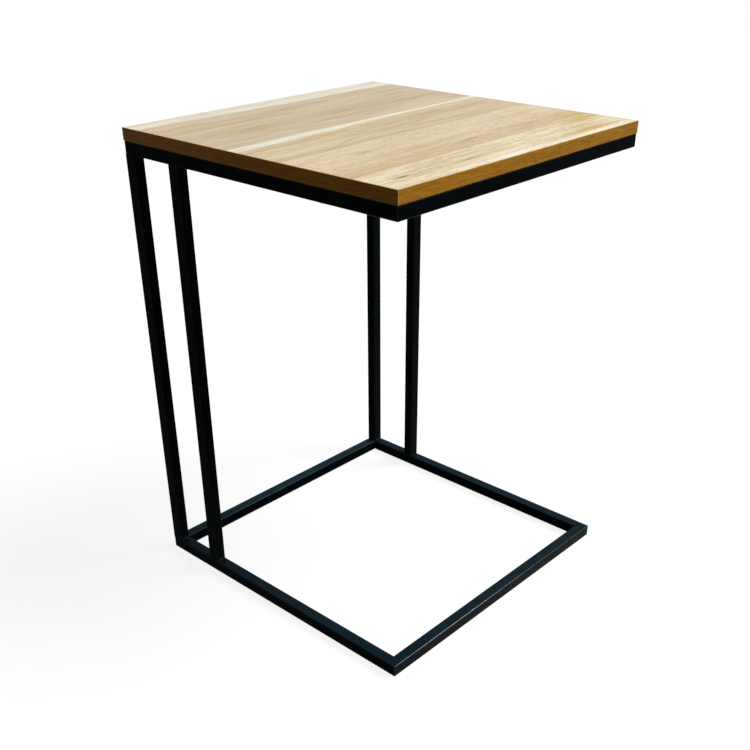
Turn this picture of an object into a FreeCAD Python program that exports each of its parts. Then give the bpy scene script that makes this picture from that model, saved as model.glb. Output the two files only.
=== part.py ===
# A C shaped side table: a square board on a welded frame of square steel tube.
# Millimetres, +Z up. The origin is on the floor, under the middle of the table.
# The open side faces -Y, the posts stand at the back, at +Y, and -X is the left side.

import FreeCAD, Part
import math
import os

from FreeCAD import Vector

# Driving dimensions
table_width = 440.0  # along X
table_depth = 440.0  # along Y
table_height = 600.0  # from the floor to the top of the board
board_thickness = 15.0
post_gap = 67.0  # clear gap between a rear post and the front post beside it

# Square steel tube
tube_size = 16.0
tube_wall = 1.2
tube_corner_radius = 1.8  # outside corners
tube_inner_radius = 0.6  # inside corners
ring_corner_radius = 3.0  # upright outside corners of the rings, ground round

# Weld beads
weld_leg = 2.0
weld_throat_share = 0.55  # where the bead's face bulges, as a share of its leg

# Board make-up
laminate_thickness = 0.8  # decor sheet on top
backer_thickness = 0.8  # balancing sheet below
band_thickness = 1.0  # edge band
band_arris_radius = 0.5  # rounded outer edges of the bands
band_arris_limit_share = 0.8  # of the band's thickness

# Board screws, up through the top rails
screw_diameter = 4.0
screw_head_diameter = 8.0
screw_head_height = 2.6
screw_head_rim = 1.0  # straight rim below the dome
screw_point_length = 3.5
screw_tip_cover = 4.5  # board left above the screw's tip
screw_hole_clearance = 0.25  # around the screw, in the tube
screw_pilot_clearance = 0.05  # around the screw, in the board
screw_recess_length = 4.4
screw_recess_width = 1.0
screw_recess_depth = 1.5
screw_place_share = 0.25  # from the middle of a rail, of its length

# Push-in floor glides
glide_pad_diameter = 10.0
glide_pad_height = 1.5
glide_pad_chamfer = 0.5
glide_stem_diameter = 5.6
glide_barb_overhang = 0.6  # beyond the stem, all round
glide_barb_taper = 1.1  # from the barb's edge in to its tip
glide_barb_height = 2.5
glide_clearance = 0.2  # stem to its hole, and barb to the tube's wall
glide_corner_gap = 0.5  # from the inside corner of the ring to the pad

# Cuts run past the faces that they open
overrun = 1.0

# Levels
base_bottom = glide_pad_height
base_top = base_bottom + tube_size
board_bottom = table_height - board_thickness
ring_bottom = board_bottom - tube_size

# Places
post_column = table_width / 2 - tube_size / 2
post_rows = {"rear": table_depth / 2 - tube_size / 2}
post_rows["front"] = post_rows["rear"] - tube_size - post_gap
glide_inset = tube_size + glide_corner_gap + glide_pad_diameter / 2
hands = {"left": -1, "right": 1}
ends = {"front": -1, "rear": 1}
rail_turns = {"back": 0, "left": 90, "front": 180, "right": 270}
parallel_share = 0.99

CENTRE = Vector(0, 0, 0)
X_AXIS = Vector(1, 0, 0)
Y_AXIS = Vector(0, 1, 0)
Z_AXIS = Vector(0, 0, 1)


def up(height):
    """A move straight up."""
    return Vector(0, 0, height)


def turned(point, degrees):
    """A point turned about the table's upright axis."""
    return FreeCAD.Rotation(Z_AXIS, degrees).multVec(point)


def edges_along(shape, axis):
    """The straight edges of a shape that run along an axis."""
    return [edge for edge in shape.Edges
            if abs(edge.tangentAt(edge.FirstParameter).dot(axis)) > parallel_share]


def revolved(outline):
    """A solid turned about Z from an outline of edges in the XZ plane."""
    return Part.Face(Part.Wire(outline)).revolve(CENTRE, Z_AXIS, 360)


def straight_run(points):
    """Straight edges through a row of (radius, height) points."""
    corners = [Vector(radius, 0, height) for radius, height in points]
    return [Part.makeLine(start, end) for start, end in zip(corners, corners[1:])]


def rail_span(side):
    """The outside length of the rail on a side of a ring."""
    return table_width if side in ("front", "back") else table_depth


def rail_point(side, along):
    """A point on the middle line of a side's rail, at a distance along it from its middle."""
    across = table_depth if side in ("front", "back") else table_width
    return turned(Vector(along, across / 2 - tube_size / 2, 0), rail_turns[side])


def rounded_bar(size, radius, length):
    """A square bar with rounded long edges, standing on the origin."""
    bar = Part.makeBox(size, size, length, Vector(-size / 2, -size / 2, 0))
    return bar.makeFillet(radius, edges_along(bar, Z_AXIS))


def tube(length):
    """A square-cut length of the tube, standing on the origin."""
    outside = rounded_bar(tube_size, tube_corner_radius, length)
    bore = rounded_bar(tube_size - 2 * tube_wall, tube_inner_radius, length + 2 * overrun)
    bore.translate(up(-overrun))
    return outside.cut(bore)


def tip_waste(length, end):
    """What grinding takes off the tip of a mitred rail, at one end of its long side."""
    reach = ring_corner_radius + overrun
    height = tube_size + 2 * overrun
    centre = Vector(length / 2 - ring_corner_radius, tube_size / 2 - ring_corner_radius, -height / 2)
    block = Part.makeBox(reach, reach, height, centre)
    waste = block.cut(Part.makeCylinder(ring_corner_radius, height, centre))
    return waste if end > 0 else waste.mirror(CENTRE, X_AXIS)


def mitred_rail(length):
    """A tube along X about the origin, mitred with its long side at +Y and its tips ground round."""
    rail = tube(length)
    rail.translate(up(-length / 2))
    rail.rotate(CENTRE, Y_AXIS, 90)
    reach = tube_size / 2 + overrun
    for end in (-1, 1):
        long_point = Vector(end * (length / 2 + overrun), reach, -reach)
        short_point = Vector(end * (length / 2 - tube_size - overrun), -reach, -reach)
        waste_point = Vector(end * (length / 2 + overrun), -reach, -reach)
        waste = Part.Face(Part.makePolygon([long_point, short_point, waste_point, long_point]))
        rail = rail.cut(waste.extrude(up(2 * reach))).cut(tip_waste(length, end))
    return rail


def screw_places(side):
    """Distances of the board screws along a top rail, from its middle."""
    return [end * rail_span(side) * screw_place_share for end in (-1, 1)]


def base_rail(side):
    """A rail of the floor ring. The side rails have holes for the glides underneath."""
    rail = mitred_rail(rail_span(side))
    if side in hands:
        radius = glide_stem_diameter / 2 + glide_clearance
        for end in (-1, 1):
            place = Vector(end * (rail_span(side) / 2 - glide_inset), 0, -tube_size / 2 - overrun)
            rail = rail.cut(Part.makeCylinder(radius, tube_wall + 2 * overrun, place))
    rail.rotate(CENTRE, Z_AXIS, rail_turns[side])
    rail.translate(rail_point(side, 0) + up(base_bottom + tube_size / 2))
    return rail


def top_rail(side):
    """A rail of the ring under the board, drilled right through for the board screws."""
    rail = mitred_rail(rail_span(side))
    radius = screw_diameter / 2 + screw_hole_clearance
    for along in screw_places(side):
        place = Vector(along, 0, -tube_size / 2 - overrun)
        rail = rail.cut(Part.makeCylinder(radius, tube_size + 2 * overrun, place))
    rail.rotate(CENTRE, Z_AXIS, rail_turns[side])
    rail.translate(rail_point(side, 0) + up(ring_bottom + tube_size / 2))
    return rail


def post(row, hand):
    """A post that stands on the floor ring and carries the top ring."""
    column = tube(ring_bottom - base_top)
    column.translate(Vector(hands[hand] * post_column, post_rows[row], base_top))
    return column


def weld_bead():
    """A bead along Y, in the corner between a face at z = 0 and an upright face at x = 0."""
    length = tube_size - 2 * tube_corner_radius
    toe = Vector(weld_leg, -length / 2, 0)
    throat = Vector(weld_leg * weld_throat_share, -length / 2, weld_leg * weld_throat_share)
    crest = Vector(0, -length / 2, weld_leg)
    root = Vector(0, -length / 2, 0)
    outline = [Part.makeLine(root, toe), Part.Arc(toe, throat, crest).toShape(), Part.makeLine(crest, root)]
    return Part.Face(Part.Wire(outline)).extrude(Y_AXIS * length)


def post_welds(level, hanging):
    """Two beads at the end of each post, standing on the floor ring or hanging under the top ring."""
    beads = []
    for row, depth in post_rows.items():
        for sign in hands.values():
            inward = 0 if sign < 0 else 180
            turns = (270, inward) if row == "rear" else (270, 90)
            for turn in turns:
                bead = weld_bead()
                if hanging:
                    bead = bead.mirror(CENTRE, Z_AXIS)
                bead.translate(X_AXIS * (tube_size / 2))
                bead.rotate(CENTRE, Z_AXIS, turn)
                bead.translate(Vector(sign * post_column, depth, level))
                beads.append(bead)
    return Part.makeCompound(beads)


def corner_welds(level):
    """An upright bead inside each mitred corner of a ring, about the level of its tubes' middle."""
    inside = Vector(table_width / 2 - tube_size, table_depth / 2 - tube_size, level)
    corners = {0: (-1, 1), 90: (-1, -1), 180: (1, -1), 270: (1, 1)}
    beads = []
    for turn, (right, back) in corners.items():
        bead = weld_bead()
        bead.rotate(CENTRE, X_AXIS, 90)
        bead.rotate(CENTRE, Z_AXIS, turn)
        bead.translate(Vector(right * inside.x, back * inside.y, inside.z))
        beads.append(bead)
    return Part.makeCompound(beads)


def board_sheet(bottom, thickness):
    """A flat sheet that fills the space between the edge bands."""
    width = table_width - 2 * band_thickness
    depth = table_depth - 2 * band_thickness
    return Part.makeBox(width, depth, thickness, Vector(-width / 2, -depth / 2, bottom))


def with_pilot_holes(sheet):
    """A sheet of the board with its share of the screws' pilot holes."""
    radius = screw_diameter / 2 + screw_pilot_clearance
    depth = board_thickness - screw_tip_cover + screw_pilot_clearance
    for side in rail_turns:
        for along in screw_places(side):
            place = rail_point(side, along) + up(board_bottom - overrun)
            sheet = sheet.cut(Part.makeCylinder(radius, depth + overrun, place))
    return sheet


def edge_band(side):
    """An edge band. The side bands cover the ends of the front and back bands."""
    butted = side in ("front", "back")
    length = rail_span(side) - 2 * band_thickness if butted else rail_span(side)
    inner_face = (table_depth if butted else table_width) / 2 - band_thickness
    corner = Vector(-length / 2, inner_face, board_bottom)
    band = Part.makeBox(length, band_thickness, board_thickness, corner)
    arris = min(band_arris_radius, band_thickness * band_arris_limit_share)
    open_edges = edges_along(band, X_AXIS) if butted else band.Edges
    outer_edges = [edge for edge in open_edges if edge.CenterOfMass.y > inner_face + arris / 2]
    band = band.makeFillet(arris, outer_edges)
    band.rotate(CENTRE, Z_AXIS, rail_turns[side])
    return band


def board_screw():
    """A pan-head wood screw, with its head's seat at the origin and its point at the top."""
    radius = screw_diameter / 2
    head_radius = screw_head_diameter / 2
    length = tube_size + board_thickness - screw_tip_cover
    dome_rise = screw_head_height - screw_head_rim
    dome_radius = (head_radius ** 2 + dome_rise ** 2) / (2 * dome_rise)
    half_way = math.asin(head_radius / dome_radius) / 2
    dome_centre = dome_radius - screw_head_height
    crown = Vector(0, 0, -screw_head_height)
    shoulder = Vector(dome_radius * math.sin(half_way), 0, dome_centre - dome_radius * math.cos(half_way))
    rim = Vector(head_radius, 0, -screw_head_rim)
    outline = [Part.Arc(crown, shoulder, rim).toShape()]
    outline += straight_run([(head_radius, -screw_head_rim), (head_radius, 0), (radius, 0),
                             (radius, length - screw_point_length), (0, length), (0, -screw_head_height)])
    screw = revolved(outline)
    slot_floor = -screw_head_height - overrun
    for turn in (0, 90):
        slot = Part.makeBox(screw_recess_length, screw_recess_width, screw_recess_depth + overrun,
                            Vector(-screw_recess_length / 2, -screw_recess_width / 2, slot_floor))
        slot.rotate(CENTRE, Z_AXIS, turn)
        screw = screw.cut(slot)
    return screw


def board_screws():
    """Every board screw, with its head against the underside of its rail."""
    screws = []
    for side in rail_turns:
        for along in screw_places(side):
            screw = board_screw()
            screw.translate(rail_point(side, along) + up(ring_bottom))
            screws.append(screw)
    return Part.makeCompound(screws)


def floor_glide(end, hand):
    """A push-in glide: a round pad on the floor, and a stem whose barb holds above the tube's wall."""
    pad_radius = glide_pad_diameter / 2
    stem_radius = glide_stem_diameter / 2
    barb_radius = stem_radius + glide_barb_overhang
    barb_bottom = glide_pad_height + tube_wall + glide_clearance
    barb_top = barb_bottom + glide_barb_height
    outline = [(0, 0), (pad_radius - glide_pad_chamfer, 0), (pad_radius, glide_pad_chamfer),
               (pad_radius, glide_pad_height), (stem_radius, glide_pad_height),
               (stem_radius, barb_bottom), (barb_radius, barb_bottom),
               (barb_radius - glide_barb_taper, barb_top), (0, barb_top), (0, 0)]
    glide = revolved(straight_run(outline))
    glide.translate(Vector(hands[hand] * post_column, ends[end] * (table_depth / 2 - glide_inset), 0))
    return glide


pieces = {}
for side in rail_turns:
    pieces["base_rail_" + side] = base_rail(side)
    pieces["top_rail_" + side] = top_rail(side)
    pieces["edge_band_" + side] = edge_band(side)
for row in post_rows:
    for hand in hands:
        pieces["post_" + row + "_" + hand] = post(row, hand)
pieces["base_post_welds"] = post_welds(base_top, False)
pieces["top_post_welds"] = post_welds(ring_bottom, True)
pieces["base_corner_welds"] = corner_welds(base_bottom + tube_size / 2)
pieces["top_corner_welds"] = corner_welds(ring_bottom + tube_size / 2)
core_bottom = board_bottom + backer_thickness
core_thickness = board_thickness - backer_thickness - laminate_thickness
pieces["board_core"] = with_pilot_holes(board_sheet(core_bottom, core_thickness))
pieces["board_backer"] = with_pilot_holes(board_sheet(board_bottom, backer_thickness))
pieces["board_top_laminate"] = board_sheet(table_height - laminate_thickness, laminate_thickness)
pieces["board_screws"] = board_screws()
for end in ends:
    for hand in hands:
        pieces["floor_glide_" + end + "_" + hand] = floor_glide(end, hand)

os.makedirs("parts", exist_ok=True)
for node, shape in pieces.items():
    shape.exportStep("parts/" + node + ".step")
print(len(pieces), "nodes")
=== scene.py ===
"""Looks of a C shaped side table: a wood decor board on a black frame of welded square tube.

+Z is up, the open side faces -Y, the posts stand at +Y and -X is the left side. Lengths are in metres, and
those of the patterns on the surfaces in millimetres.
"""

import math
import random

import bmesh
import bpy
from bpy.props import FloatProperty, FloatVectorProperty, PointerProperty
from mathutils import Euler, Matrix, Vector


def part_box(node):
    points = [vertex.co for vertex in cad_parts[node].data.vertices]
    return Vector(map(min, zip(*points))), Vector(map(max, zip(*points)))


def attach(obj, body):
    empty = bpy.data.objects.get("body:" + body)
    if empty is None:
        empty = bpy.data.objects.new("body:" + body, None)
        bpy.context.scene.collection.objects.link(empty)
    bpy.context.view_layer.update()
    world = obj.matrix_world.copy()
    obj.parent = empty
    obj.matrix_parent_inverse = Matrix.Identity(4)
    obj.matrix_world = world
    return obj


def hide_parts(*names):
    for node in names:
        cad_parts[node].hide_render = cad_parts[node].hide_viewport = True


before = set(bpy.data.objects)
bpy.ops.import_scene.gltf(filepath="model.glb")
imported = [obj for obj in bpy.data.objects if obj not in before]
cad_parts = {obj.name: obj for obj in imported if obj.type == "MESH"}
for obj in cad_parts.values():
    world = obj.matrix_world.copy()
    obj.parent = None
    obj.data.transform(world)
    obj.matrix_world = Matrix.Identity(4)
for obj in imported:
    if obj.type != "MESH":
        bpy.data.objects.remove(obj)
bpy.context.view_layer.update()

bl_info = {
    "name": "C Shaped Side Table",
    "version": (1, 0, 0),
    "blender": (4, 5, 0),
    "location": "3D View > Sidebar > Side Table",
    "description": "Finishes the frame, welds, board, screws and glides of a side table, and sets its stage",
    "category": "Object",
}

MILLIMETRE = 0.001
SIDES = ("back", "left", "front", "right")
POSTS = ("rear_left", "rear_right", "front_left", "front_right")
GLIDES = ("front_left", "front_right", "rear_left", "rear_right")

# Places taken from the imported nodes
band_low, band_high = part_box("edge_band_left")
base_low, base_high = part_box("base_rail_left")
ring_low, ring_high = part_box("top_rail_left")
TUBE_SIZE = base_high.x - base_low.x
WELD_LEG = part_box("base_post_welds")[1].z - base_high.z

# The standard curve from a screen's levels to light: straight at its foot, and a power above it
TOP_LEVEL = 255
CURVE_FOOT = 0.04045
FOOT_SLOPE = 12.92
CURVE_SHIFT = 0.055
CURVE_POWER = 2.4


def light(level):
    """The light behind one of a screen's levels, from 0 to 1."""
    share = level / TOP_LEVEL
    if share <= CURVE_FOOT:
        return share / FOOT_SLOPE
    return ((share + CURVE_SHIFT) / (1.0 + CURVE_SHIFT)) ** CURVE_POWER


def colour_property(name, description, *levels):
    """A colour that a user may change, with its default in a screen's levels from 0 to 255."""
    default = tuple(light(level) for level in levels)
    return FloatVectorProperty(
        name=name, description=description, subtype="COLOR", min=0.0, max=1.0, default=default)


def length_property(name, description, default):
    """A length that a user may change, in metres."""
    return FloatProperty(
        name=name, description=description, subtype="DISTANCE", unit="LENGTH",
        min=0.0, precision=5, default=default)


def share_property(name, description, default):
    """A share from 0 to 1 that a user may change."""
    return FloatProperty(
        name=name, description=description, subtype="FACTOR", min=0.0, max=1.0, default=default)


def film_property(name, description, default):
    """A length in the camera that a user may change, in millimetres."""
    return FloatProperty(name=name, description=description, unit="CAMERA", min=1.0, default=default)


def angle_property(name, description, degrees):
    """An angle that a user may change, with its default in degrees."""
    return FloatProperty(
        name=name, description=description, subtype="ANGLE", unit="ROTATION",
        min=0.0, default=math.radians(degrees))


class SideTableFrameSettings(bpy.types.PropertyGroup):
    """Sizes and colours of the powder coat and the weld beads."""

    coat_colour: colour_property("Coat Colour", "Colour of the powder coat", 7, 11, 13)
    # Painted light: the posts have the rails' coat, painted paler to stand in for the light that they catch
    post_painted_paler_colour: colour_property("Post Colour", "Colour of the posts' coat, a little paler", 15, 20, 22)
    coat_roughness: share_property("Coat Roughness", "Roughness of the powder coat", 0.36)
    peel_size: length_property("Peel Size", "Width of the soft waves in the coat", 1.6 * MILLIMETRE)
    peel_depth: length_property("Peel Depth", "Height of the soft waves in the coat", 0.02 * MILLIMETRE)
    edge_polish: share_property("Edge Polish", "Gloss of the rounded edges, where the coat is thin", 0.1)
    front_polish: share_property("Front Polish", "Gloss of the front rail's edges, rubbed in use", 0.33)
    rub_polish: share_property("Rub Polish", "More gloss where feet rub those edges most", 0.6)
    back_polish: share_property("Back Polish", "Gloss of the back rail's edges", 0.2)
    coat_gloss: share_property("Coat Gloss", "Gloss of the powder coat", 0.004)
    front_gloss: share_property("Front Gloss", "Gloss of the front rail, which feet rub", 0.022)
    wipe_polish: share_property("Wipe Polish", "Gloss of the faces that look up, from dusting", 0.06)
    # Painted light: a bluish sky reflection painted into the coat's colour on the faces that look up
    painted_sky_colour: colour_property("Dust Colour", "Bluish film of dust on the faces that look up", 13, 31, 40)
    # Painted light: a stronger painted sky reflection on the floor ring's back rail
    back_painted_sky: colour_property("Back Dust", "Thicker film on the floor ring's back rail", 18, 42, 53)
    # Painted highlight: pale lines round the posts' ends, standing in for light caught at the welded joints
    joint_highlight_colour: colour_property("Joint Colour", "Thin coat on the welds at the posts' ends", 58, 50, 42)
    ripple_pitch: length_property("Ripple Pitch", "Distance between a bead's ripples", 1.25 * MILLIMETRE)
    ripple_depth: share_property("Ripple Depth", "Depth of the ripples, as a share of the bead's leg", 0.12)


class SideTableBoardSettings(bpy.types.PropertyGroup):
    """Colours of the wood decor, the edge bands and the sheets of the board."""

    back_stave: colour_property("Back Stave", "Colour of the wide stave at the back", 206, 187, 155)
    middle_stave: colour_property("Middle Stave", "Colour of the stave in front of it", 211, 190, 154)
    light_stave: colour_property("Light Stave", "Colour of the lighter stave", 224, 205, 169)
    front_stave: colour_property("Front Stave", "Colour of the yellowish front stave", 236, 219, 183)
    sapwood: colour_property("Sapwood", "Colour of the pale wood along the back", 232, 224, 206)
    cream_wood: colour_property(
        "Cream Wood", "Colour of the pale stripes in the middle and at the front", 240, 229, 205)
    brown_wood: colour_property("Brown Wood", "Colour of the pinkish brown patches", 198, 171, 138)
    golden_wood: colour_property("Golden Wood", "Colour of the patches at the right end", 214, 184, 116)
    band_colour: colour_property("Band Colour", "Print on the front and back bands", 179, 124, 36)
    # Painted shade: the side bands take a darker, redder copy of the band print, standing in for the shade on
    # the sides
    side_band_shaded_colour: colour_property("Side Band Colour", "Redder print on the side bands", 170, 112, 34)
    band_cut_colour: colour_property(
        "Band Cut Colour", "Pale trimmed edges and cut ends of the bands", 220, 172, 108)
    core_colour: colour_property("Core Colour", "Chips in the board's core", 196, 170, 132)
    backer_colour: colour_property("Backer Colour", "Balancing sheet under the board", 203, 186, 160)
    decor_roughness: share_property("Decor Roughness", "Roughness of the decor sheet", 0.55)


class SideTableFittingsSettings(bpy.types.PropertyGroup):
    """Colours of the screws and the glides."""

    zinc_colour: colour_property("Zinc Colour", "Zinc plate on the screws", 190, 191, 194)
    plastic_colour: colour_property("Plastic Colour", "Moulded plastic of the glides", 34, 34, 36)


class SideTableStageSettings(bpy.types.PropertyGroup):
    """Camera, lamps and floor."""

    camera_place: FloatVectorProperty(
        name="Camera Place", description="Where the camera stands", subtype="TRANSLATION", unit="LENGTH",
        default=(-0.94438, -0.86006, 0.84459))
    camera_turn: FloatVectorProperty(
        name="Camera Turn", description="How the camera is turned", subtype="EULER", unit="ROTATION",
        default=tuple(math.radians(degrees) for degrees in (58.81472, 0.27451, -47.32974)))
    lens: film_property("Lens", "Focal length of the lens", 48.696)
    picture_height: film_property("Picture Height", "Height of the film behind the picture", 36.0)
    film_width: film_property("Film Width", "Width of the upright film", 24.0)
    rise: share_property("Rise", "Upward shift of the lens, as a share of the picture's height", 1 / 6)
    key_strength: FloatProperty(
        name="Key Strength", description="Light of the soft lamp in front, high on the right",
        min=0.0, default=3.25)
    key_spread: angle_property("Key Spread", "How wide the soft lamp looks from the table", 28.0)
    glint_strength: FloatProperty(
        name="Glint Strength", description="Light of the lamp that glints on the frame's edges",
        min=0.0, default=0.4)
    glint_spread: angle_property("Glint Spread", "How wide that lamp looks from the table", 8.0)
    room_light: share_property("Room Light", "Light from all round, as a share of white", 0.05)
    floor_colour: colour_property("Floor Colour", "Floor as it takes the shadow", 108, 108, 108)
    floor_glow: share_property("Floor Glow", "What lifts the floor to white in the picture", 0.88)
    floor_size: length_property("Floor Size", "Side of the floor", 12.0)


class Shade:
    """A socket that Python's operators work on: each one adds a Math node behind it."""

    def __init__(self, paint, socket):
        self.paint = paint
        self.socket = socket

    def math(self, operation, *values):
        return self.paint.node("ShaderNodeMath", {"operation": operation}, dict(enumerate(values)))

    def __add__(self, other):
        return self.math("ADD", self, other)

    def __sub__(self, other):
        return self.math("SUBTRACT", self, other)

    def __rsub__(self, other):
        return self.math("SUBTRACT", other, self)

    def __mul__(self, other):
        return self.math("MULTIPLY", self, other)

    def __truediv__(self, other):
        return self.math("DIVIDE", self, other)

    def __rtruediv__(self, other):
        return self.math("DIVIDE", other, self)

    def __abs__(self):
        return self.math("ABSOLUTE", self)

    __radd__ = __add__
    __rmul__ = __mul__

    def rising(self, low, high):
        """0 up to low, 1 from high on, and a smooth step between them."""
        return self.paint.node(
            "ShaderNodeMapRange", {"interpolation_type": "SMOOTHSTEP"},
            {"Value": self, "From Min": low, "From Max": high})

    def bell(self, centre, width):
        """1 at the centre, falling away smoothly over the width on both sides."""
        offset = (self - centre) / width
        return self.math("EXPONENT", offset * offset * -1.0)


# Sockets of a Mix node for colours, which share their names with its other sockets
MIX_AMOUNT = 0
MIX_FIRST = 6
MIX_SECOND = 7
MIX_RESULT = 2
EVEN_TINT = (1.0, 1.0, 1.0)  # darkens all channels alike
NOISE_MIDDLE = 0.5
# How squarely a surface faces an axis in the middle of a rounded edge, and on a flat face
SQUARENESS = (0.78, 0.98)


class Paint:
    """A node tree in the making, for a material or for the world."""

    def __init__(self, tree):
        self.tree = tree
        tree.nodes.clear()

    def node(self, kind, settings=None, sockets=None, give=0):
        """Adds a node with its settings, and the values or links of its sockets. Gives one of its outputs."""
        made = self.tree.nodes.new(kind)
        for name, value in (settings or {}).items():
            setattr(made, name, value)
        for name, value in (sockets or {}).items():
            if isinstance(value, Shade):
                self.tree.links.new(value.socket, made.inputs[name])
            else:
                made.inputs[name].default_value = value
        return Shade(self, made.outputs[give]) if made.outputs else None

    def parts(self, vector):
        """A vector's parts along X, Y and Z."""
        return [self.node("ShaderNodeSeparateXYZ", None, {0: vector}, give=axis) for axis in "XYZ"]

    def place(self):
        """Millimetres along X, Y and Z in the table's own frame."""
        return [axis / MILLIMETRE for axis in self.parts(self.node("ShaderNodeTexCoord", give="Object"))]

    def scaled(self, point, *sizes):
        """A point, counted in a size along each axis."""
        x, y, z = (axis / size for axis, size in zip(point, sizes))
        return self.node("ShaderNodeCombineXYZ", None, {"X": x, "Y": y, "Z": z})

    def noise(self, point, size_x, size_y, size_z, detail=2.0):
        """Soft noise about zero, in lumps with a size along each axis."""
        place = self.scaled(point, size_x, size_y, size_z)
        level = self.node("ShaderNodeTexNoise", None, {"Vector": place, "Scale": 1.0, "Detail": detail})
        return level - NOISE_MIDDLE

    def grain(self, along, across, size_along, size_across, layer, detail=2.0):
        """Soft noise about zero on a flat sheet, from one layer of the noise."""
        return self.noise((along, across, layer), size_along, size_across, 1.0, detail)

    def blend(self, first, second, amount):
        """The first colour going over to the second one."""
        first, second = (value if isinstance(value, Shade) else (*value, 1.0) for value in (first, second))
        sockets = {MIX_AMOUNT: amount, MIX_FIRST: first, MIX_SECOND: second}
        return self.node("ShaderNodeMix", {"data_type": "RGBA"}, sockets, give=MIX_RESULT)

    def darkened(self, colour, amount, tint):
        """A colour made darker by an amount, in each channel by that channel's share in the tint."""
        lost = self.node("ShaderNodeVectorMath", {"operation": "SCALE"}, {0: tint, "Scale": amount})
        kept = self.node("ShaderNodeVectorMath", {"operation": "SUBTRACT"}, {0: (1.0, 1.0, 1.0), 1: lost})
        return self.node("ShaderNodeVectorMath", {"operation": "MULTIPLY"}, {0: colour, 1: kept})

    def facing(self):
        """How far a surface looks along X, Y and Z: 1 where straight along, below zero where away."""
        return self.parts(self.node("ShaderNodeNewGeometry", give="Normal"))

    def rounded_edge(self):
        """0 on faces square to the table, rising to 1 in the middle of a rounded edge."""
        x, y, z = (abs(axis) for axis in self.facing())
        largest = x.math("MAXIMUM", x.math("MAXIMUM", x, y), z)
        return 1.0 - largest.rising(*SQUARENESS)

    def bump(self, height):
        """A surface raised by a height in millimetres."""
        return self.node("ShaderNodeBump", None, {"Height": height * MILLIMETRE, "Distance": 1.0})

    def shader(self, **sockets):
        """Ends a material in one shader, with the values or links of its sockets."""
        named = {name.replace("_", " "): value for name, value in sockets.items()}
        surface = self.node("ShaderNodeBsdfPrincipled", None, named)
        self.node("ShaderNodeOutputMaterial", None, {"Surface": surface})


def new_material(name):
    """A material and the paint of its node tree."""
    material = bpy.data.materials.new(name)
    material.use_nodes = True
    return material, Paint(material.node_tree)


def finish_nodes(names, material):
    """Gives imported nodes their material."""
    for name in names:
        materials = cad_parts[name].data.materials
        materials.clear()
        materials.append(material)


def new_piece(name, mesh, material):
    """A new object from a bmesh, in one material."""
    data = bpy.data.meshes.new(name)
    mesh.to_mesh(data)
    mesh.free()
    data.materials.append(material)
    piece = bpy.data.objects.new(name, data)
    bpy.context.scene.collection.objects.link(piece)
    return piece


# Frame

# Noise in the coat: its size along X, Y and Z in millimetres and, where given, its detail
COAT_CLOUD = (26.0, 26.0, 26.0)
COAT_SPECKS = (0.8, 0.8, 0.8, 0.0)
JOINT_BREAKS = (3.0, 3.0, 3.0, 1.0)
PEEL_DETAIL = 1.0
# Cloudy patches and specks
CLOUD_DEPTH = 0.5
CLOUD_ROUGHNESS = 0.12
SPECK_LEVELS = (0.235, 0.26)  # noise at which a speck starts and is full
SPECK_PALENESS = 2.6  # a speck's colour, in colours of the coat
SPECK_HEIGHT = 0.03
# How far a face looks up where the painted sky reflection and the wipe gloss start, and where they are full
UPWARD_FACING = (0.6, 0.97)
# Mitre lines, ground flush
MITRE_START = 1.0  # outside the inside corner
MITRE_FADE = 1.0
MITRE_WIDTH = 0.55
MITRE_DEPTH = 0.05
MITRE_ROUGHNESS = 0.08
# Painted highlights: pale lines at the ends of the posts, where the welded joints catch the light
JOINT_WIDTH = 0.55
JOINT_LEVELS = (-0.14, 0.1)  # noise at which a line starts to show and shows fully
JOINT_SHARE = 0.55  # of the coat's colour that a line replaces
# Gloss of the rounded edges, and where along X feet rub those of the front rail most
POLISH_ROUGHNESS = 0.28
RUB_PLACE = -85.0
RUB_WIDTH = 110.0


def usual_coat(settings):
    """What most of the frame's coats have in common."""
    return {
        "coat_colour": settings.coat_colour,
        "gloss": settings.coat_gloss,
        "edge_polish": settings.edge_polish,
        "wipe_polish": settings.wipe_polish,
        "painted_sky_colour": settings.painted_sky_colour,
    }


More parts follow.
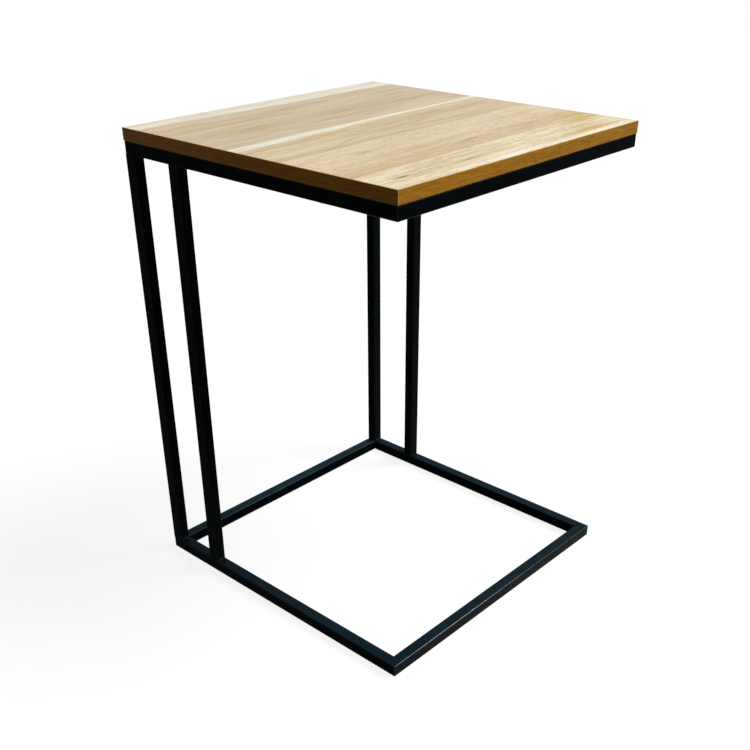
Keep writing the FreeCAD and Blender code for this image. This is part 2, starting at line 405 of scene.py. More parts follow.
def powder_coat(
        name, settings, coat_colour, gloss, edge_polish, wipe_polish, painted_sky_colour,
        joint_levels=(), rub_polish=0.0):
    """Satin black powder coat: soft waves, a few specks, a painted bluish sky reflection on faces that look
    up, mitre lines and painted highlights at the posts' ends.
    """
    material, paint = new_material(name)
    point = paint.place()
    x, y, z = point
    peel = settings.peel_size / MILLIMETRE
    waves = paint.noise(point, peel, peel, peel, PEEL_DETAIL)
    cloud = paint.noise(point, *COAT_CLOUD)
    specks = paint.noise(point, *COAT_SPECKS).rising(*SPECK_LEVELS)
    colour = paint.blend(coat_colour, [value * SPECK_PALENESS for value in coat_colour], specks)
    upward = paint.facing()[2].rising(*UPWARD_FACING)
    # Painted reflection: faces that look up take a bluish colour standing in for the sky that they reflect
    colour = paint.blend(colour, painted_sky_colour, upward)
    colour = paint.darkened(colour, cloud * CLOUD_DEPTH, EVEN_TINT)
    corner = (band_high.y - TUBE_SIZE) / MILLIMETRE + MITRE_START
    mitre = (abs(x) - abs(y)).bell(0.0, MITRE_WIDTH) * abs(x).rising(corner - MITRE_FADE, corner)
    # Painted highlights: pale broken lines round the posts' ends
    for level in joint_levels:
        shown = paint.noise(point, *JOINT_BREAKS).rising(*JOINT_LEVELS)
        joint = z.bell(level / MILLIMETRE, JOINT_WIDTH) * shown
        colour = paint.blend(colour, settings.joint_highlight_colour, joint * JOINT_SHARE)
    height = waves * (settings.peel_depth / MILLIMETRE) + specks * SPECK_HEIGHT - mitre * MITRE_DEPTH
    polish = edge_polish + x.bell(RUB_PLACE, RUB_WIDTH) * rub_polish if rub_polish else edge_polish
    paint.shader(
        Base_Color=colour,
        Roughness=settings.coat_roughness + cloud * CLOUD_ROUGHNESS + mitre * MITRE_ROUGHNESS,
        Normal=paint.bump(height),
        Coat_Weight=paint.rounded_edge() * polish + upward * wipe_polish,
        Coat_Roughness=POLISH_ROUGHNESS,
        Specular_IOR_Level=gloss)
    return material


class SIDETABLE_OT_paint_frame(bpy.types.Operator):
    """Coat the rails of both rings and the four posts"""

    bl_idname = "side_table.paint_frame"
    bl_label = "Paint Frame"

    def execute(self, context):
        settings = context.scene.side_table_frame
        usual = usual_coat(settings)
        rails = [ring + "_rail_" + side for ring in ("base", "top") for side in SIDES]
        finish_nodes(rails, powder_coat("powder_coat", settings, **usual))
        rubbed = {
            **usual,
            "gloss": settings.front_gloss,
            "edge_polish": settings.front_polish,
            "rub_polish": settings.rub_polish,
            "wipe_polish": 0.0,
        }
        finish_nodes(["base_rail_front"], powder_coat("powder_coat_front", settings, **rubbed))
        # The back rail gets a stronger painted sky reflection on the faces that look up
        back_sky_coat = {**usual, "edge_polish": settings.back_polish, "painted_sky_colour": settings.back_painted_sky}
        finish_nodes(["base_rail_back"], powder_coat("powder_coat_back", settings, **back_sky_coat))
        # The posts' coat is painted paler than the rails' to stand in for the light that they catch
        joined = {**usual, "coat_colour": settings.post_painted_paler_colour, "joint_levels": (base_high.z, ring_low.z)}
        posts = ["post_" + post for post in POSTS]
        finish_nodes(posts, powder_coat("powder_coat_posts", settings, **joined))
        return {"FINISHED"}


BEAD_LENGTH_SHARE = 0.77  # of the tube's side, which leaves out its rounded corners
BEAD_STEPS = 7  # rings of points to a ripple
BEAD_FACETS = 8  # facets across a bead's face
BEAD_BULGE = 0.1  # how far the face stands out from a straight one
BEAD_CRESCENT = 0.5  # how far a ripple's middle runs ahead, in ripples
BEAD_END = 0.9 * MILLIMETRE  # length of a bead's rounded end
BEAD_END_SHARE = 0.25  # of a bead's size that is left at its very end
BEAD_SPREAD = 0.1  # how much smaller a ripple may be than the leg
BEAD_SEED = 11
WELD_GLOSS = 0.3  # gloss of a bead, as a share of that of the rounded edges
# Turns about Z that bring +X round to a side, in degrees
TURNS = {"right": 0, "back": 90, "left": 180, "front": 270}
# Inside corners of a ring: the turn of the bead in degrees, and the corner's side along X and along Y
RING_CORNERS = ((0, -1, 1), (90, -1, -1), (180, 1, -1), (270, 1, 1))


def turned(degrees):
    """A turn about Z."""
    return Matrix.Rotation(math.radians(degrees), 4, "Z")


def add_bead(mesh, settings, matrix, draws):
    """Adds a rippled weld bead along Y, in the corner between a face at z = 0 and one at x = 0."""
    length = TUBE_SIZE * BEAD_LENGTH_SHARE
    ripples = round(length / settings.ripple_pitch)
    steps = ripples * BEAD_STEPS
    sizes = [1.0 - draws.uniform(0.0, BEAD_SPREAD) for _ in range(ripples + 2)]
    rings = []
    for step in range(steps + 1):
        along = length * (step / steps - 0.5)
        end = min(1.0, (length / 2 - abs(along)) / BEAD_END)
        rounded = math.sqrt(1.0 - (1.0 - end) ** 2) * (1.0 - BEAD_END_SHARE) + BEAD_END_SHARE
        ring = [mesh.verts.new(matrix @ Vector((0.0, along, 0.0)))]
        for facet in range(BEAD_FACETS + 1):
            angle = math.pi / 2 * facet / BEAD_FACETS
            swell = math.sin(2 * angle)
            phase = step / BEAD_STEPS + BEAD_CRESCENT * swell
            ripple = settings.ripple_depth * swell * (phase % 1.0) ** 2
            reach = (1.0 + BEAD_BULGE * swell) / (math.cos(angle) + math.sin(angle))
            radius = WELD_LEG * rounded * (reach - ripple) * sizes[int(phase)]
            point = Vector((radius * math.cos(angle), along, radius * math.sin(angle)))
            ring.append(mesh.verts.new(matrix @ point))
        rings.append(ring)
    for ring, following in zip(rings, rings[1:]):
        for corner in range(len(ring)):
            other = (corner + 1) % len(ring)
            mesh.faces.new((ring[corner], ring[other], following[other], following[corner]))
    mesh.faces.new(reversed(rings[0]))
    mesh.faces.new(rings[-1])


def post_bead_places(level, hanging):
    """Places of the two beads at the end of each post, on the floor ring or under the top ring."""
    turned_over = Matrix.Rotation(math.pi, 4, "X") if hanging else Matrix.Identity(4)
    beside = Matrix.Translation((TUBE_SIZE / 2, 0.0, 0.0))
    for post in POSTS:
        low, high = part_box("post_" + post)
        foot = Vector(((low.x + high.x) / 2, (low.y + high.y) / 2, level))
        inward = "right" if foot.x < 0 else "left"
        second = inward if post.startswith("rear") else "back"
        for side in ("front", second):
            yield Matrix.Translation(foot) @ turned(TURNS[side]) @ beside @ turned_over


def corner_bead_places(low, high):
    """Places of the upright beads inside the four mitred corners of a ring."""
    inside = band_high.y - TUBE_SIZE
    upright = Matrix.Rotation(math.pi / 2, 4, "X")
    for degrees, right, back in RING_CORNERS:
        corner = Vector((right * inside, back * inside, (low.z + high.z) / 2))
        yield Matrix.Translation(corner) @ turned(degrees) @ upright


class SIDETABLE_OT_lay_welds(bpy.types.Operator):
    """Lay rippled weld beads at the ends of the posts and inside the corners of both rings"""

    bl_idname = "side_table.lay_welds"
    bl_label = "Lay Welds"

    def execute(self, context):
        settings = context.scene.side_table_frame
        dull = {**usual_coat(settings), "edge_polish": settings.edge_polish * WELD_GLOSS}
        material = powder_coat("powder_coat_welds", settings, **dull)
        draws = random.Random(BEAD_SEED)
        places = {
            "base_post_welds": post_bead_places(base_high.z, False),
            "top_post_welds": post_bead_places(ring_low.z, True),
            "base_corner_welds": corner_bead_places(base_low, base_high),
            "top_corner_welds": corner_bead_places(ring_low, ring_high),
        }
        for node, matrices in places.items():
            mesh = bmesh.new()
            for matrix in matrices:
                add_bead(mesh, settings, matrix, draws)
            bmesh.ops.recalc_face_normals(mesh, faces=mesh.faces)
            for face in mesh.faces:
                face.smooth = True
            piece = new_piece(node.replace("welds", "weld_beads"), mesh, material)
            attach(piece, "root")
            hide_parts(node)
        return {"FINISHED"}


# Board: places on it are along the grain from the left edge and across it from the back edge, in millimetres

# The grain runs a little out of square with the board, about a place along it
GRAIN_SLOPE = 0.0113
GRAIN_PIVOT = 396.0
# Joints between the staves, across the grain, and half the width of such a joint
STAVE_JOINTS = (185.0, 272.0, 375.0)
STAVE_JOINT_HALF = 0.6
# Noise in the decor: its size along and across the grain, its layer and, where given, its detail
WANDER = (170.0, 70.0, 1.3)
WAVER = (38.0, 13.0, 3.7)
BROAD = (230.0, 17.0, 5.1)
STREAKS = (70.0, 3.4, 9.7, 3.0)
FINE = (24.0, 1.2, 13.9)
PORES = (9.0, 0.32, 17.2, 1.0)
BLUSH = (130.0, 24.0, 25.3, 3.0)
FLAMES = (55.0, 26.0, 21.4)
FLECKS = (9.0, 2.0, 29.6)
# How far the grain and the flame lines stray from a straight line
WANDER_REACH = 14.0
WAVER_REACH = 4.0
FLAME_REACH = 24.0
FLAME_PITCH = 7.0
# How much darker each makes the wood
BROAD_DEPTH = 0.7
STREAK_DEPTH = 0.8
FINE_DEPTH = 0.65
PORE_DEPTH = 0.08
FLAME_DEPTH = 0.03
FLECK_DEPTH = 0.6
# Contrast of the back stave's grain, and how it changes at each joint towards the front
LIVELINESS = 0.75
LIVELINESS_CHANGES = (0.2, -0.45, 0.5)
# Noise at which a pore and a pinkish brown patch start and are full, and the share of brown in a patch
PORE_LEVELS = (0.1, 0.22)
BLUSH_LEVELS = (-0.02, 0.22)
BLUSH_SHARE = 0.45
# Pale wood along the back: where its edge is at the left, how much wider it gets and how far streaks cross it
BACK_SAP_EDGE = (18.0, 26.0)
BACK_SAP_SLOPE = 0.037
BACK_SAP_RAG = 8.0
# Pale stripe in the middle: its front edge, how much narrower it gets and between which places along it
STRIPE_EDGE = 207.5
STRIPE_NARROWING = 14.5
STRIPE_NARROWS = (-60.0, 225.0)
STRIPE_FADE = (-4.0, 5.0)
STRIPE_RAG = 6.0
# Pale stripe at the front: its back edge, how it narrows, and where along the board it starts and is full
FRONT_EDGE = 428.0
FRONT_NARROWING = 3.5
FRONT_NARROWS = (300.0, 430.0)
FRONT_FADE = (-1.5, 1.5)
FRONT_RAG = 4.0
FRONT_START = (40.0, 220.0)
# Places along the board where the pale stripes go over from sapwood to cream
CREAM_START = (50.0, 200.0)
# Places across the board where the light stave goes over to a darker tone, and how much darker
STAVE_SHADE = (318.0, 366.0)
STAVE_SHADE_DEPTH = 0.15
# Marks in the grain: along and across it, half length, half width, slope, and how much darker the wood is
# there, or paler where below zero
GRAIN_MARKS = (
    (190.0, 5.0, 260.0, 4.0, 0.01, 0.10),
    (80.0, 2.0, 110.0, 5.0, 0.00, 0.12),
    (290.0, 124.0, 110.0, 9.0, 0.05, 0.08),
    (90.0, 121.0, 85.0, 14.0, 0.02, 0.20),
    (60.0, 80.0, 70.0, 5.0, 0.02, 0.10),
    (240.0, 108.0, 60.0, 8.0, 0.00, -0.07),
    (220.0, 156.0, 70.0, 8.0, 0.00, -0.06),
    (220.0, 174.0, 400.0, 8.0, 0.00, -0.06),
    (170.0, 189.5, 220.0, 4.5, -0.01, -0.11),
    (170.0, 181.0, 200.0, 4.0, 0.00, -0.07),
    (365.0, 206.0, 80.0, 8.0, 0.00, -0.11),
    (90.0, 216.0, 90.0, 6.0, -0.02, 0.15),
    (330.0, 230.0, 75.0, 8.0, 0.00, 0.09),
    (118.0, 254.0, 22.0, 3.2, -0.30, 0.18),
    (345.0, 267.5, 62.0, 3.0, 0.00, 0.20),
    (90.0, 266.0, 90.0, 3.5, 0.00, 0.09),
    (90.0, 243.0, 80.0, 5.0, 0.00, -0.38),
    (30.0, 253.0, 50.0, 5.0, 0.00, -0.21),
    (130.0, 229.0, 40.0, 5.0, 0.04, -0.13),
    (180.0, 277.0, 110.0, 5.0, 0.00, -0.13),
    (205.0, 275.0, 50.0, 4.0, 0.00, -0.10),
    (360.0, 292.0, 70.0, 11.0, 0.02, -0.10),
    (290.0, 334.0, 60.0, 8.0, 0.00, -0.08),
    (70.0, 316.0, 60.0, 8.0, 0.00, 0.08),
    (150.0, 352.0, 120.0, 7.0, -0.02, 0.08),
    (70.0, 366.0, 100.0, 6.0, 0.00, 0.12),
    (200.0, 381.0, 60.0, 6.0, 0.00, -0.10),
    (285.0, 396.0, 60.0, 7.0, 0.00, -0.16),
    (300.0, 380.0, 22.0, 5.0, 0.00, 0.10),
    (175.0, 409.0, 65.0, 5.0, 0.00, 0.26),
    (30.0, 406.0, 30.0, 4.0, 0.00, 0.14),
    (245.0, 406.5, 45.0, 5.0, 0.00, -0.08),
    (185.0, 416.5, 95.0, 4.5, 0.00, 0.07),
    (395.0, 402.0, 45.0, 5.0, 0.00, -0.18),
    (155.0, 393.0, 45.0, 6.0, 0.00, -0.13),
    (245.0, 388.0, 42.0, 4.0, 0.00, -0.13),
    (75.0, 400.0, 36.0, 3.0, 0.00, -0.14),
    (325.0, 377.0, 38.0, 4.0, 0.00, 0.10),
    (255.0, 432.5, 210.0, 5.0, 0.00, -0.16),
)
# Knots: along and across the grain, half length, half width, slope and darkness
KNOTS = (
    (385.0, 131.0, 55.0, 3.2, 0.00, 0.22),
    (95.0, 305.0, 13.0, 1.5, 0.00, 0.36),
    (220.0, 347.5, 15.0, 1.8, -0.06, 0.46),
    (41.0, 403.5, 10.0, 1.7, 0.00, 0.92),
    (146.0, 410.0, 17.0, 2.0, -0.04, 0.46),
    (135.0, 249.5, 20.0, 2.2, -0.25, 0.14),
)
# Golden patches: along and across the grain, half length, half width, slope and strength
GOLDEN_MARKS = (
    (416.0, 382.5, 45.0, 7.0, 0.00, 1.20),
    (345.0, 419.5, 40.0, 7.0, 0.00, 1.10),
    (392.0, 426.0, 34.0, 5.5, 0.00, 0.90),
    (400.0, 391.0, 42.0, 7.0, 0.00, 0.35),
    (418.0, 363.0, 38.0, 9.0, 0.00, 0.80),
)
# Share of gold in a golden patch, and how much the streaks change it
GOLD_SHARE = 0.8
GOLD_STREAKS = 3.0
WOOD_TINT = (0.78, 1.0, 1.45)  # darker wood loses more blue than red
MARK_TINT = (0.62, 1.0, 1.45)  # and a mark is browner still
KNOT_TINT = (0.9, 1.0, 1.1)
DECOR_FINE_ROUGHNESS = 0.25
DECOR_PORE_ROUGHNESS = 0.1
DECOR_RELIEF = 0.02
DECOR_GLOSS = 0.14


def marked(along, line, marks):
    """The sum of marks in the grain, each fading out along and across it."""
    total = 0.0
    for at, level, half_length, half_width, slope, depth in marks:
        level_line = line - (along - at) * slope if slope else line
        total = total + along.bell(at, half_length) * level_line.bell(level, half_width) * depth
    return total


def wood_decor(settings):
    """Staved wood decor: four tan staves, pale stripes, streaks, golden patches, knots and fine pores."""
    material, paint = new_material("wood_decor")
    x, y, _ = paint.place()
    along = x - band_low.x / MILLIMETRE
    across = band_high.y / MILLIMETRE - y
    wander = paint.grain(along, across, *WANDER)
    waver = paint.grain(along, across, *WAVER)
    skewed = across + (along - GRAIN_PIVOT) * GRAIN_SLOPE
    line = skewed + wander * WANDER_REACH + waver * WAVER_REACH
    broad = paint.grain(along, line, *BROAD)
    streak = paint.grain(along, line, *STREAKS)
    fine = paint.grain(along, line, *FINE)
    pores = paint.grain(along, line, *PORES).rising(*PORE_LEVELS)

    joints = [skewed.rising(joint - STAVE_JOINT_HALF, joint + STAVE_JOINT_HALF) for joint in STAVE_JOINTS]
    colour = settings.back_stave
    for stave, joint in zip((settings.middle_stave, settings.light_stave, settings.front_stave), joints):
        colour = paint.blend(colour, stave, joint)
    blush = paint.grain(along, line, *BLUSH).rising(*BLUSH_LEVELS)
    colour = paint.blend(colour, settings.brown_wood, blush * BLUSH_SHARE)

    back_sap = 1.0 - (line + streak * BACK_SAP_RAG - along * BACK_SAP_SLOPE).rising(*BACK_SAP_EDGE)
    stripe_edge = STRIPE_EDGE - along.rising(*STRIPE_NARROWS) * STRIPE_NARROWING
    stripe = joints[0] * (1.0 - (line + streak * STRIPE_RAG - stripe_edge).rising(*STRIPE_FADE))
    front_edge = FRONT_EDGE + along.rising(*FRONT_NARROWS) * FRONT_NARROWING
    front_stripe = (across + streak * FRONT_RAG - front_edge).rising(*FRONT_FADE) * along.rising(*FRONT_START)
    colour = paint.blend(colour, settings.sapwood, back_sap)
    pale_wood = paint.blend(settings.sapwood, settings.cream_wood, along.rising(*CREAM_START))
    colour = paint.blend(colour, pale_wood, stripe + front_stripe)
    golden = marked(along, line, GOLDEN_MARKS) * (GOLD_SHARE + streak * GOLD_STREAKS)
    colour = paint.blend(colour, settings.golden_wood, golden)

    flames = line + paint.grain(along, line, *FLAMES) * FLAME_REACH
    flame_lines = flames.math("SINE", flames * (2 * math.pi / FLAME_PITCH)) * joints[2]
    liveliness = LIVELINESS
    for joint, change in zip(joints, LIVELINESS_CHANGES):
        liveliness = liveliness + joint * change
    darkness = (broad * BROAD_DEPTH + streak * STREAK_DEPTH + fine * FINE_DEPTH) * liveliness
    flecks = paint.grain(along, line, *FLECKS) * joints[1]
    darkness = darkness + pores * PORE_DEPTH + flame_lines * FLAME_DEPTH + flecks * FLECK_DEPTH
    colour = paint.darkened(colour, darkness, WOOD_TINT)
    shade = line.rising(*STAVE_SHADE) * (1.0 - joints[2]) * STAVE_SHADE_DEPTH
    colour = paint.darkened(colour, shade + marked(along, line, GRAIN_MARKS), MARK_TINT)

    paint.shader(
        Base_Color=paint.darkened(colour, marked(along, line, KNOTS), KNOT_TINT),
        Roughness=settings.decor_roughness + fine * DECOR_FINE_ROUGHNESS + pores * DECOR_PORE_ROUGHNESS,
        Normal=paint.bump((fine - pores) * DECOR_RELIEF),
        Specular_IOR_Level=DECOR_GLOSS)
    return material


class SIDETABLE_OT_lay_decor(bpy.types.Operator):
    """Print the staved wood decor on the sheet on top of the board"""

    bl_idname = "side_table.lay_decor"
    bl_label = "Lay Decor"

    def execute(self, context):
        finish_nodes(["board_top_laminate"], wood_decor(context.scene.side_table_board))
        return {"FINISHED"}


# Noise in the band print: its size along a band, up it and through it in millimetres, and its detail
BAND_STREAKS = (70.0, 1.6, 60.0, 3.0)
BAND_FINE = (13.0, 0.9, 60.0, 3.0)
BAND_BROAD = (90.0, 7.0, 60.0, 2.0)
BAND_BROAD_SHIFT = 240.0  # through the band, so that the broad noise is unlike the streaks
BAND_STREAK_DEPTH = 0.8
BAND_FINE_DEPTH = 1.4
BAND_BROAD_DEPTH = 0.4
# Distance from a band's upper or lower edge at which the pale trimmed strip starts to fade and is gone
BAND_TRIM = (0.33, 0.55)
TRIM_PALENESS = 0.35
# Distance from a band's end at which the pale cut end starts and is full
BAND_CUT = (0.35, 0.15)
CUT_PALENESS = 0.6
PALE_UNEVENNESS = 0.8
BAND_ROUGHNESS = 0.46
BAND_FINE_ROUGHNESS = 0.3
BAND_PALE_ROUGHNESS = 0.15
BAND_RELIEF = 0.03
BAND_GLOSS = 0.06


def band_print(name, settings, print_colour, runs_along_x):
    """Golden brown wood print with a fine lengthwise grain, and pale trimmed edges and cut ends."""
    material, paint = new_material(name)
    x, y, z = paint.place()
    along, outward = (x, y) if runs_along_x else (y, x)
    height = z - band_low.z / MILLIMETRE
    streak = paint.noise((along, height, outward), *BAND_STREAKS)
    fine = paint.noise((along, height, outward), *BAND_FINE)
    broad = paint.noise((along, height, outward + BAND_BROAD_SHIFT), *BAND_BROAD)
    darkness = streak * BAND_STREAK_DEPTH + fine * BAND_FINE_DEPTH + broad * BAND_BROAD_DEPTH
    colour = paint.darkened((*print_colour,), darkness, WOOD_TINT)
    top = (band_high.z - band_low.z) / MILLIMETRE
    fades, gone = BAND_TRIM
    trimmed = 1.0 - height.rising(fades, gone) + height.rising(top - gone, top - fades)
    cut_end = abs(along).rising(*(band_high.y / MILLIMETRE - distance for distance in BAND_CUT))
    pale = trimmed * TRIM_PALENESS + cut_end * CUT_PALENESS
    colour = paint.blend(colour, settings.band_cut_colour, pale * (1.0 + fine * PALE_UNEVENNESS))
    paint.shader(
        Base_Color=colour,
        Roughness=BAND_ROUGHNESS + fine * BAND_FINE_ROUGHNESS + pale * BAND_PALE_ROUGHNESS,
        Normal=paint.bump(fine * BAND_RELIEF),
        Specular_IOR_Level=BAND_GLOSS)
    return material


class SIDETABLE_OT_print_bands(bpy.types.Operator):
    """Print the four edge bands, with the grain along each"""

    bl_idname = "side_table.print_bands"
    bl_label = "Print Bands"

    def execute(self, context):
        settings = context.scene.side_table_board
        long_print = band_print("band_print_long", settings, settings.band_colour, True)
        finish_nodes(["edge_band_front", "edge_band_back"], long_print)
        # Painted shade: a darker, redder copy of the print on the side bands
        shaded_side_print = band_print("band_print_side_shaded", settings, settings.side_band_shaded_colour, False)
        finish_nodes(["edge_band_left", "edge_band_right"], shaded_side_print)
        return {"FINISHED"}


RAW_GLOSS = 0.2  # gloss of the core and the balancing sheet
# Core: the size of its chips, and of the dust between them, along X, Y and Z in millimetres
CHIP_SIZE = (6.0, 6.0, 1.6)
CHIP_DUST = (1.2, 1.2, 0.6)
CHIP_DEPTH = 0.35
CHIP_DUST_DEPTH = 0.3
CHIP_ROUGHNESS = 0.85
CHIP_DUST_ROUGHNESS = 0.1
CHIP_RELIEF = 0.1
# Noise in the balancing sheet: its size along X and Y in millimetres, its layer and, where given, its detail
SHEET_CLOUD = (60.0, 60.0, 2.0)
SHEET_FIBRES = (7.0, 1.1, 6.0)
SHEET_PRESS = (0.9, 0.9, 9.0, 1.0)
SHEET_CLOUD_DEPTH = 0.16
SHEET_FIBRE_DEPTH = 0.14
SHEET_PRESS_DEPTH = 0.08
SHEET_ROUGHNESS = 0.6
SHEET_PRESS_ROUGHNESS = 0.2
SHEET_RELIEF = 0.04


def chipboard(settings):
    """Raw chipboard: pale and brown chips pressed together."""
    material, paint = new_material("chipboard")
    point = paint.place()
    sockets = {"Vector": paint.scaled(point, *CHIP_SIZE), "Scale": 1.0}
    chips = paint.node("ShaderNodeTexVoronoi", {"feature": "F1"}, sockets, give="Color")
    tone = paint.node("ShaderNodeSeparateColor", None, {0: chips}, give="Red")
    dust = paint.noise(point, *CHIP_DUST)
    darkness = tone * CHIP_DEPTH + dust * CHIP_DUST_DEPTH
    paint.shader(
        Base_Color=paint.darkened((*settings.core_colour,), darkness, WOOD_TINT),
        Roughness=CHIP_ROUGHNESS + dust * CHIP_DUST_ROUGHNESS,
        Normal=paint.bump((tone + dust) * CHIP_RELIEF),
        Specular_IOR_Level=RAW_GLOSS)
    return material


def balancing_sheet(settings):
    """Plain pale balancing sheet: paper fibres and a faint press texture."""
    material, paint = new_material("balancing_sheet")
    x, y, _ = paint.place()
    cloud = paint.grain(x, y, *SHEET_CLOUD)
    fibres = paint.grain(x, y, *SHEET_FIBRES)
    press = paint.grain(x, y, *SHEET_PRESS)
    darkness = cloud * SHEET_CLOUD_DEPTH + fibres * SHEET_FIBRE_DEPTH + press * SHEET_PRESS_DEPTH
    paint.shader(
        Base_Color=paint.darkened((*settings.backer_colour,), darkness, WOOD_TINT),
        Roughness=SHEET_ROUGHNESS + press * SHEET_PRESS_ROUGHNESS,
        Normal=paint.bump(press * SHEET_RELIEF),
        Specular_IOR_Level=RAW_GLOSS)
    return material


class SIDETABLE_OT_finish_board_body(bpy.types.Operator):
    """Finish the core of the board and the balancing sheet under it"""

    bl_idname = "side_table.finish_board_body"
    bl_label = "Finish Board Body"

    def execute(self, context):
        settings = context.scene.side_table_board
        finish_nodes(["board_core"], chipboard(settings))
        finish_nodes(["board_backer"], balancing_sheet(settings))
        return {"FINISHED"}


# Fittings: their noise has its size along X, Y and Z in millimetres and, where given, its detail

ZINC_CLOUD = (1.7, 1.7, 1.7)
ZINC_MARKS = (0.25, 2.2, 0.25, 1.0)
ZINC_CLOUD_DEPTH = 0.35
ZINC_MARK_DEPTH = 0.2
ZINC_TINT = (1.0, 1.0, 0.9)  # darker zinc is a little bluer
ZINC_ROUGHNESS = 0.32
ZINC_CLOUD_ROUGHNESS = 0.25
ZINC_MARK_ROUGHNESS = 0.15
ZINC_RELIEF = 0.01

PLASTIC_SPARK = (0.35, 0.35, 0.35, 1.0)
PLASTIC_CLOUD = (5.0, 5.0, 5.0)
PLASTIC_SPARK_DEPTH = 0.3
PLASTIC_CLOUD_DEPTH = 0.4
PLASTIC_ROUGHNESS = 0.55
PLASTIC_SPARK_ROUGHNESS = 0.3
PLASTIC_RELIEF = 0.04
PLASTIC_GLOSS = 0.25


def zinc_plate(settings):
    """Zinc plated steel: bright, with cloudy patches and fine handling marks."""
    material, paint = new_material("zinc_plate")
    point = paint.place()
    cloud = paint.noise(point, *ZINC_CLOUD)
    marks = paint.noise(point, *ZINC_MARKS)
    darkness = cloud * ZINC_CLOUD_DEPTH + marks * ZINC_MARK_DEPTH
    paint.shader(
        Base_Color=paint.darkened((*settings.zinc_colour,), darkness, ZINC_TINT),
        Metallic=1.0,
        Roughness=ZINC_ROUGHNESS + cloud * ZINC_CLOUD_ROUGHNESS + marks * ZINC_MARK_ROUGHNESS,
        Normal=paint.bump(marks * ZINC_RELIEF))
    return material


class SIDETABLE_OT_plate_screws(bpy.types.Operator):
    """Plate the screws that hold the board to the top ring"""

    bl_idname = "side_table.plate_screws"
    bl_label = "Plate Screws"

    def execute(self, context):
        finish_nodes(["board_screws"], zinc_plate(context.scene.side_table_fittings))
        return {"FINISHED"}


def moulded_plastic(settings):
    """Moulded black plastic with a fine spark texture."""
    material, paint = new_material("moulded_plastic")
    point = paint.place()
    spark = paint.noise(point, *PLASTIC_SPARK)
    cloud = paint.noise(point, *PLASTIC_CLOUD)
    darkness = cloud * PLASTIC_CLOUD_DEPTH + spark * PLASTIC_SPARK_DEPTH
    paint.shader(
        Base_Color=paint.darkened((*settings.plastic_colour,), darkness, EVEN_TINT),
        Roughness=PLASTIC_ROUGHNESS + spark * PLASTIC_SPARK_ROUGHNESS,
        Normal=paint.bump(spark * PLASTIC_RELIEF),
        Specular_IOR_Level=PLASTIC_GLOSS)
    return material


class SIDETABLE_OT_mould_glides(bpy.types.Operator):
    """Give the four floor glides their plastic"""

    bl_idname = "side_table.mould_glides"
    bl_label = "Mould Glides"

    def execute(self, context):
        names = ["floor_glide_" + glide for glide in GLIDES]
        finish_nodes(names, moulded_plastic(context.scene.side_table_fittings))
        return {"FINISHED"}


# Stage

KEY_DIRECTION = Vector((0.5, -0.48, 0.88)).normalized()  # from the table to the soft lamp
GLINT_DIRECTION = Vector((0.67, -0.44, 0.6)).normalized()  # from the table to the lamp for the edges
WHITE = (1.0, 1.0, 1.0, 1.0)


def seen_directly(paint):
    """1 for rays from the camera, from a gloss or through glass, and 0 for the light that falls on things."""
    kinds = ("Is Camera Ray", "Is Glossy Ray", "Is Transmission Ray")
    camera, gloss, glass = (paint.node("ShaderNodeLightPath", give=kind) for kind in kinds)
    return camera + gloss + glass


def add_floor(settings):
    """A plain floor that looks white and keeps the table's shadow."""
    material, paint = new_material("floor")
    matt = paint.node("ShaderNodeBsdfDiffuse", None, {"Color": (*settings.floor_colour, 1.0)})
    glow = paint.node("ShaderNodeEmission", None, {"Strength": seen_directly(paint) * settings.floor_glow})
    surface = paint.node("ShaderNodeAddShader", None, {0: matt, 1: glow})
    paint.node("ShaderNodeOutputMaterial", None, {"Surface": surface})
    mesh = bmesh.new()
    bmesh.ops.create_grid(mesh, x_segments=1, y_segments=1, size=settings.floor_size / 2)
    new_piece("floor", mesh, material)


def add_lamp(name, direction, strength, spread):
    """A soft lamp, far away in a direction from the table."""
    lamp = bpy.data.lights.new(name, "SUN")
    lamp.energy = strength
    lamp.angle = spread
    lamp_object = bpy.data.objects.new(name, lamp)
    lamp_object.location = direction
    lamp_object.rotation_euler = direction.to_track_quat("Z", "Y").to_euler()
    bpy.context.scene.collection.objects.link(lamp_object)


def add_room(settings):
    """A white room that sheds little light of its own."""
    world = bpy.data.worlds.new("room")
    world.use_nodes = True
    paint = Paint(world.node_tree)
    strength = settings.room_light + seen_directly(paint) * (1.0 - settings.room_light)
    background = paint.node("ShaderNodeBackground", None, {"Color": WHITE, "Strength": strength})
    paint.node("ShaderNodeOutputWorld", None, {"Surface": background})
    bpy.context.scene.world = world


def add_camera(settings):
    """The camera, with an upright film and its lens shifted up."""
    camera = bpy.data.cameras.new("camera")
    camera.sensor_fit = "VERTICAL"
    camera.sensor_height = settings.picture_height
    camera.sensor_width = settings.film_width
    camera.lens = settings.lens
    camera.shift_y = settings.rise
    camera_object = bpy.data.objects.new("camera", camera)
    camera_object.location = settings.camera_place
    camera_object.rotation_euler = Euler(settings.camera_turn, "XYZ")
    bpy.context.scene.collection.objects.link(camera_object)
    bpy.context.scene.camera = camera_object


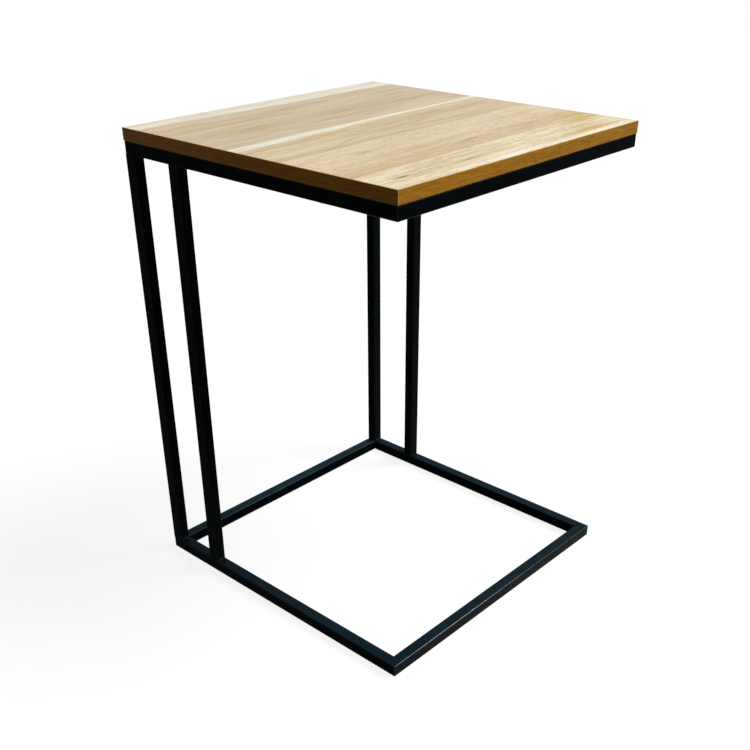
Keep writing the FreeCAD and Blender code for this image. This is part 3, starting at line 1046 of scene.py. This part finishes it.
class SIDETABLE_OT_set_stage(bpy.types.Operator):
    """Set the floor, the lamps, the room and the camera"""

    bl_idname = "side_table.set_stage"
    bl_label = "Set Stage"

    def execute(self, context):
        settings = context.scene.side_table_stage
        add_floor(settings)
        add_lamp("key_lamp", KEY_DIRECTION, settings.key_strength, settings.key_spread)
        add_lamp("glint_lamp", GLINT_DIRECTION, settings.glint_strength, settings.glint_spread)
        add_room(settings)
        add_camera(settings)
        context.scene.view_settings.view_transform = "Standard"
        return {"FINISHED"}


STEPS = (
    SIDETABLE_OT_paint_frame,
    SIDETABLE_OT_lay_welds,
    SIDETABLE_OT_lay_decor,
    SIDETABLE_OT_print_bands,
    SIDETABLE_OT_finish_board_body,
    SIDETABLE_OT_plate_screws,
    SIDETABLE_OT_mould_glides,
    SIDETABLE_OT_set_stage,
)
SETTINGS = {
    "side_table_frame": SideTableFrameSettings,
    "side_table_board": SideTableBoardSettings,
    "side_table_fittings": SideTableFittingsSettings,
    "side_table_stage": SideTableStageSettings,
}


class SIDETABLE_PT_steps(bpy.types.Panel):
    """Lists the steps that dress the table, with the settings that they use"""

    bl_idname = "SIDETABLE_PT_steps"
    bl_label = "Side Table"
    bl_space_type = "VIEW_3D"
    bl_region_type = "UI"
    bl_category = "Side Table"

    def draw(self, context):
        for step in STEPS:
            self.layout.operator(step.bl_idname)
        for name, group in SETTINGS.items():
            box = self.layout.box()
            for field in group.__annotations__:
                box.prop(getattr(context.scene, name), field)


def register():
    for group in (*SETTINGS.values(), *STEPS, SIDETABLE_PT_steps):
        bpy.utils.register_class(group)
    for name, group in SETTINGS.items():
        setattr(bpy.types.Scene, name, PointerProperty(type=group))


def unregister():
    for name in SETTINGS:
        delattr(bpy.types.Scene, name)
    for group in (SIDETABLE_PT_steps, *reversed(STEPS), *reversed(SETTINGS.values())):
        bpy.utils.unregister_class(group)


def main():
    register()
    bpy.ops.side_table.paint_frame()
    bpy.ops.side_table.lay_welds()
    bpy.ops.side_table.lay_decor()
    bpy.ops.side_table.print_bands()
    bpy.ops.side_table.finish_board_body()
    bpy.ops.side_table.plate_screws()
    bpy.ops.side_table.mould_glides()
    bpy.ops.side_table.set_stage()


if __name__ == "__main__":
    main()
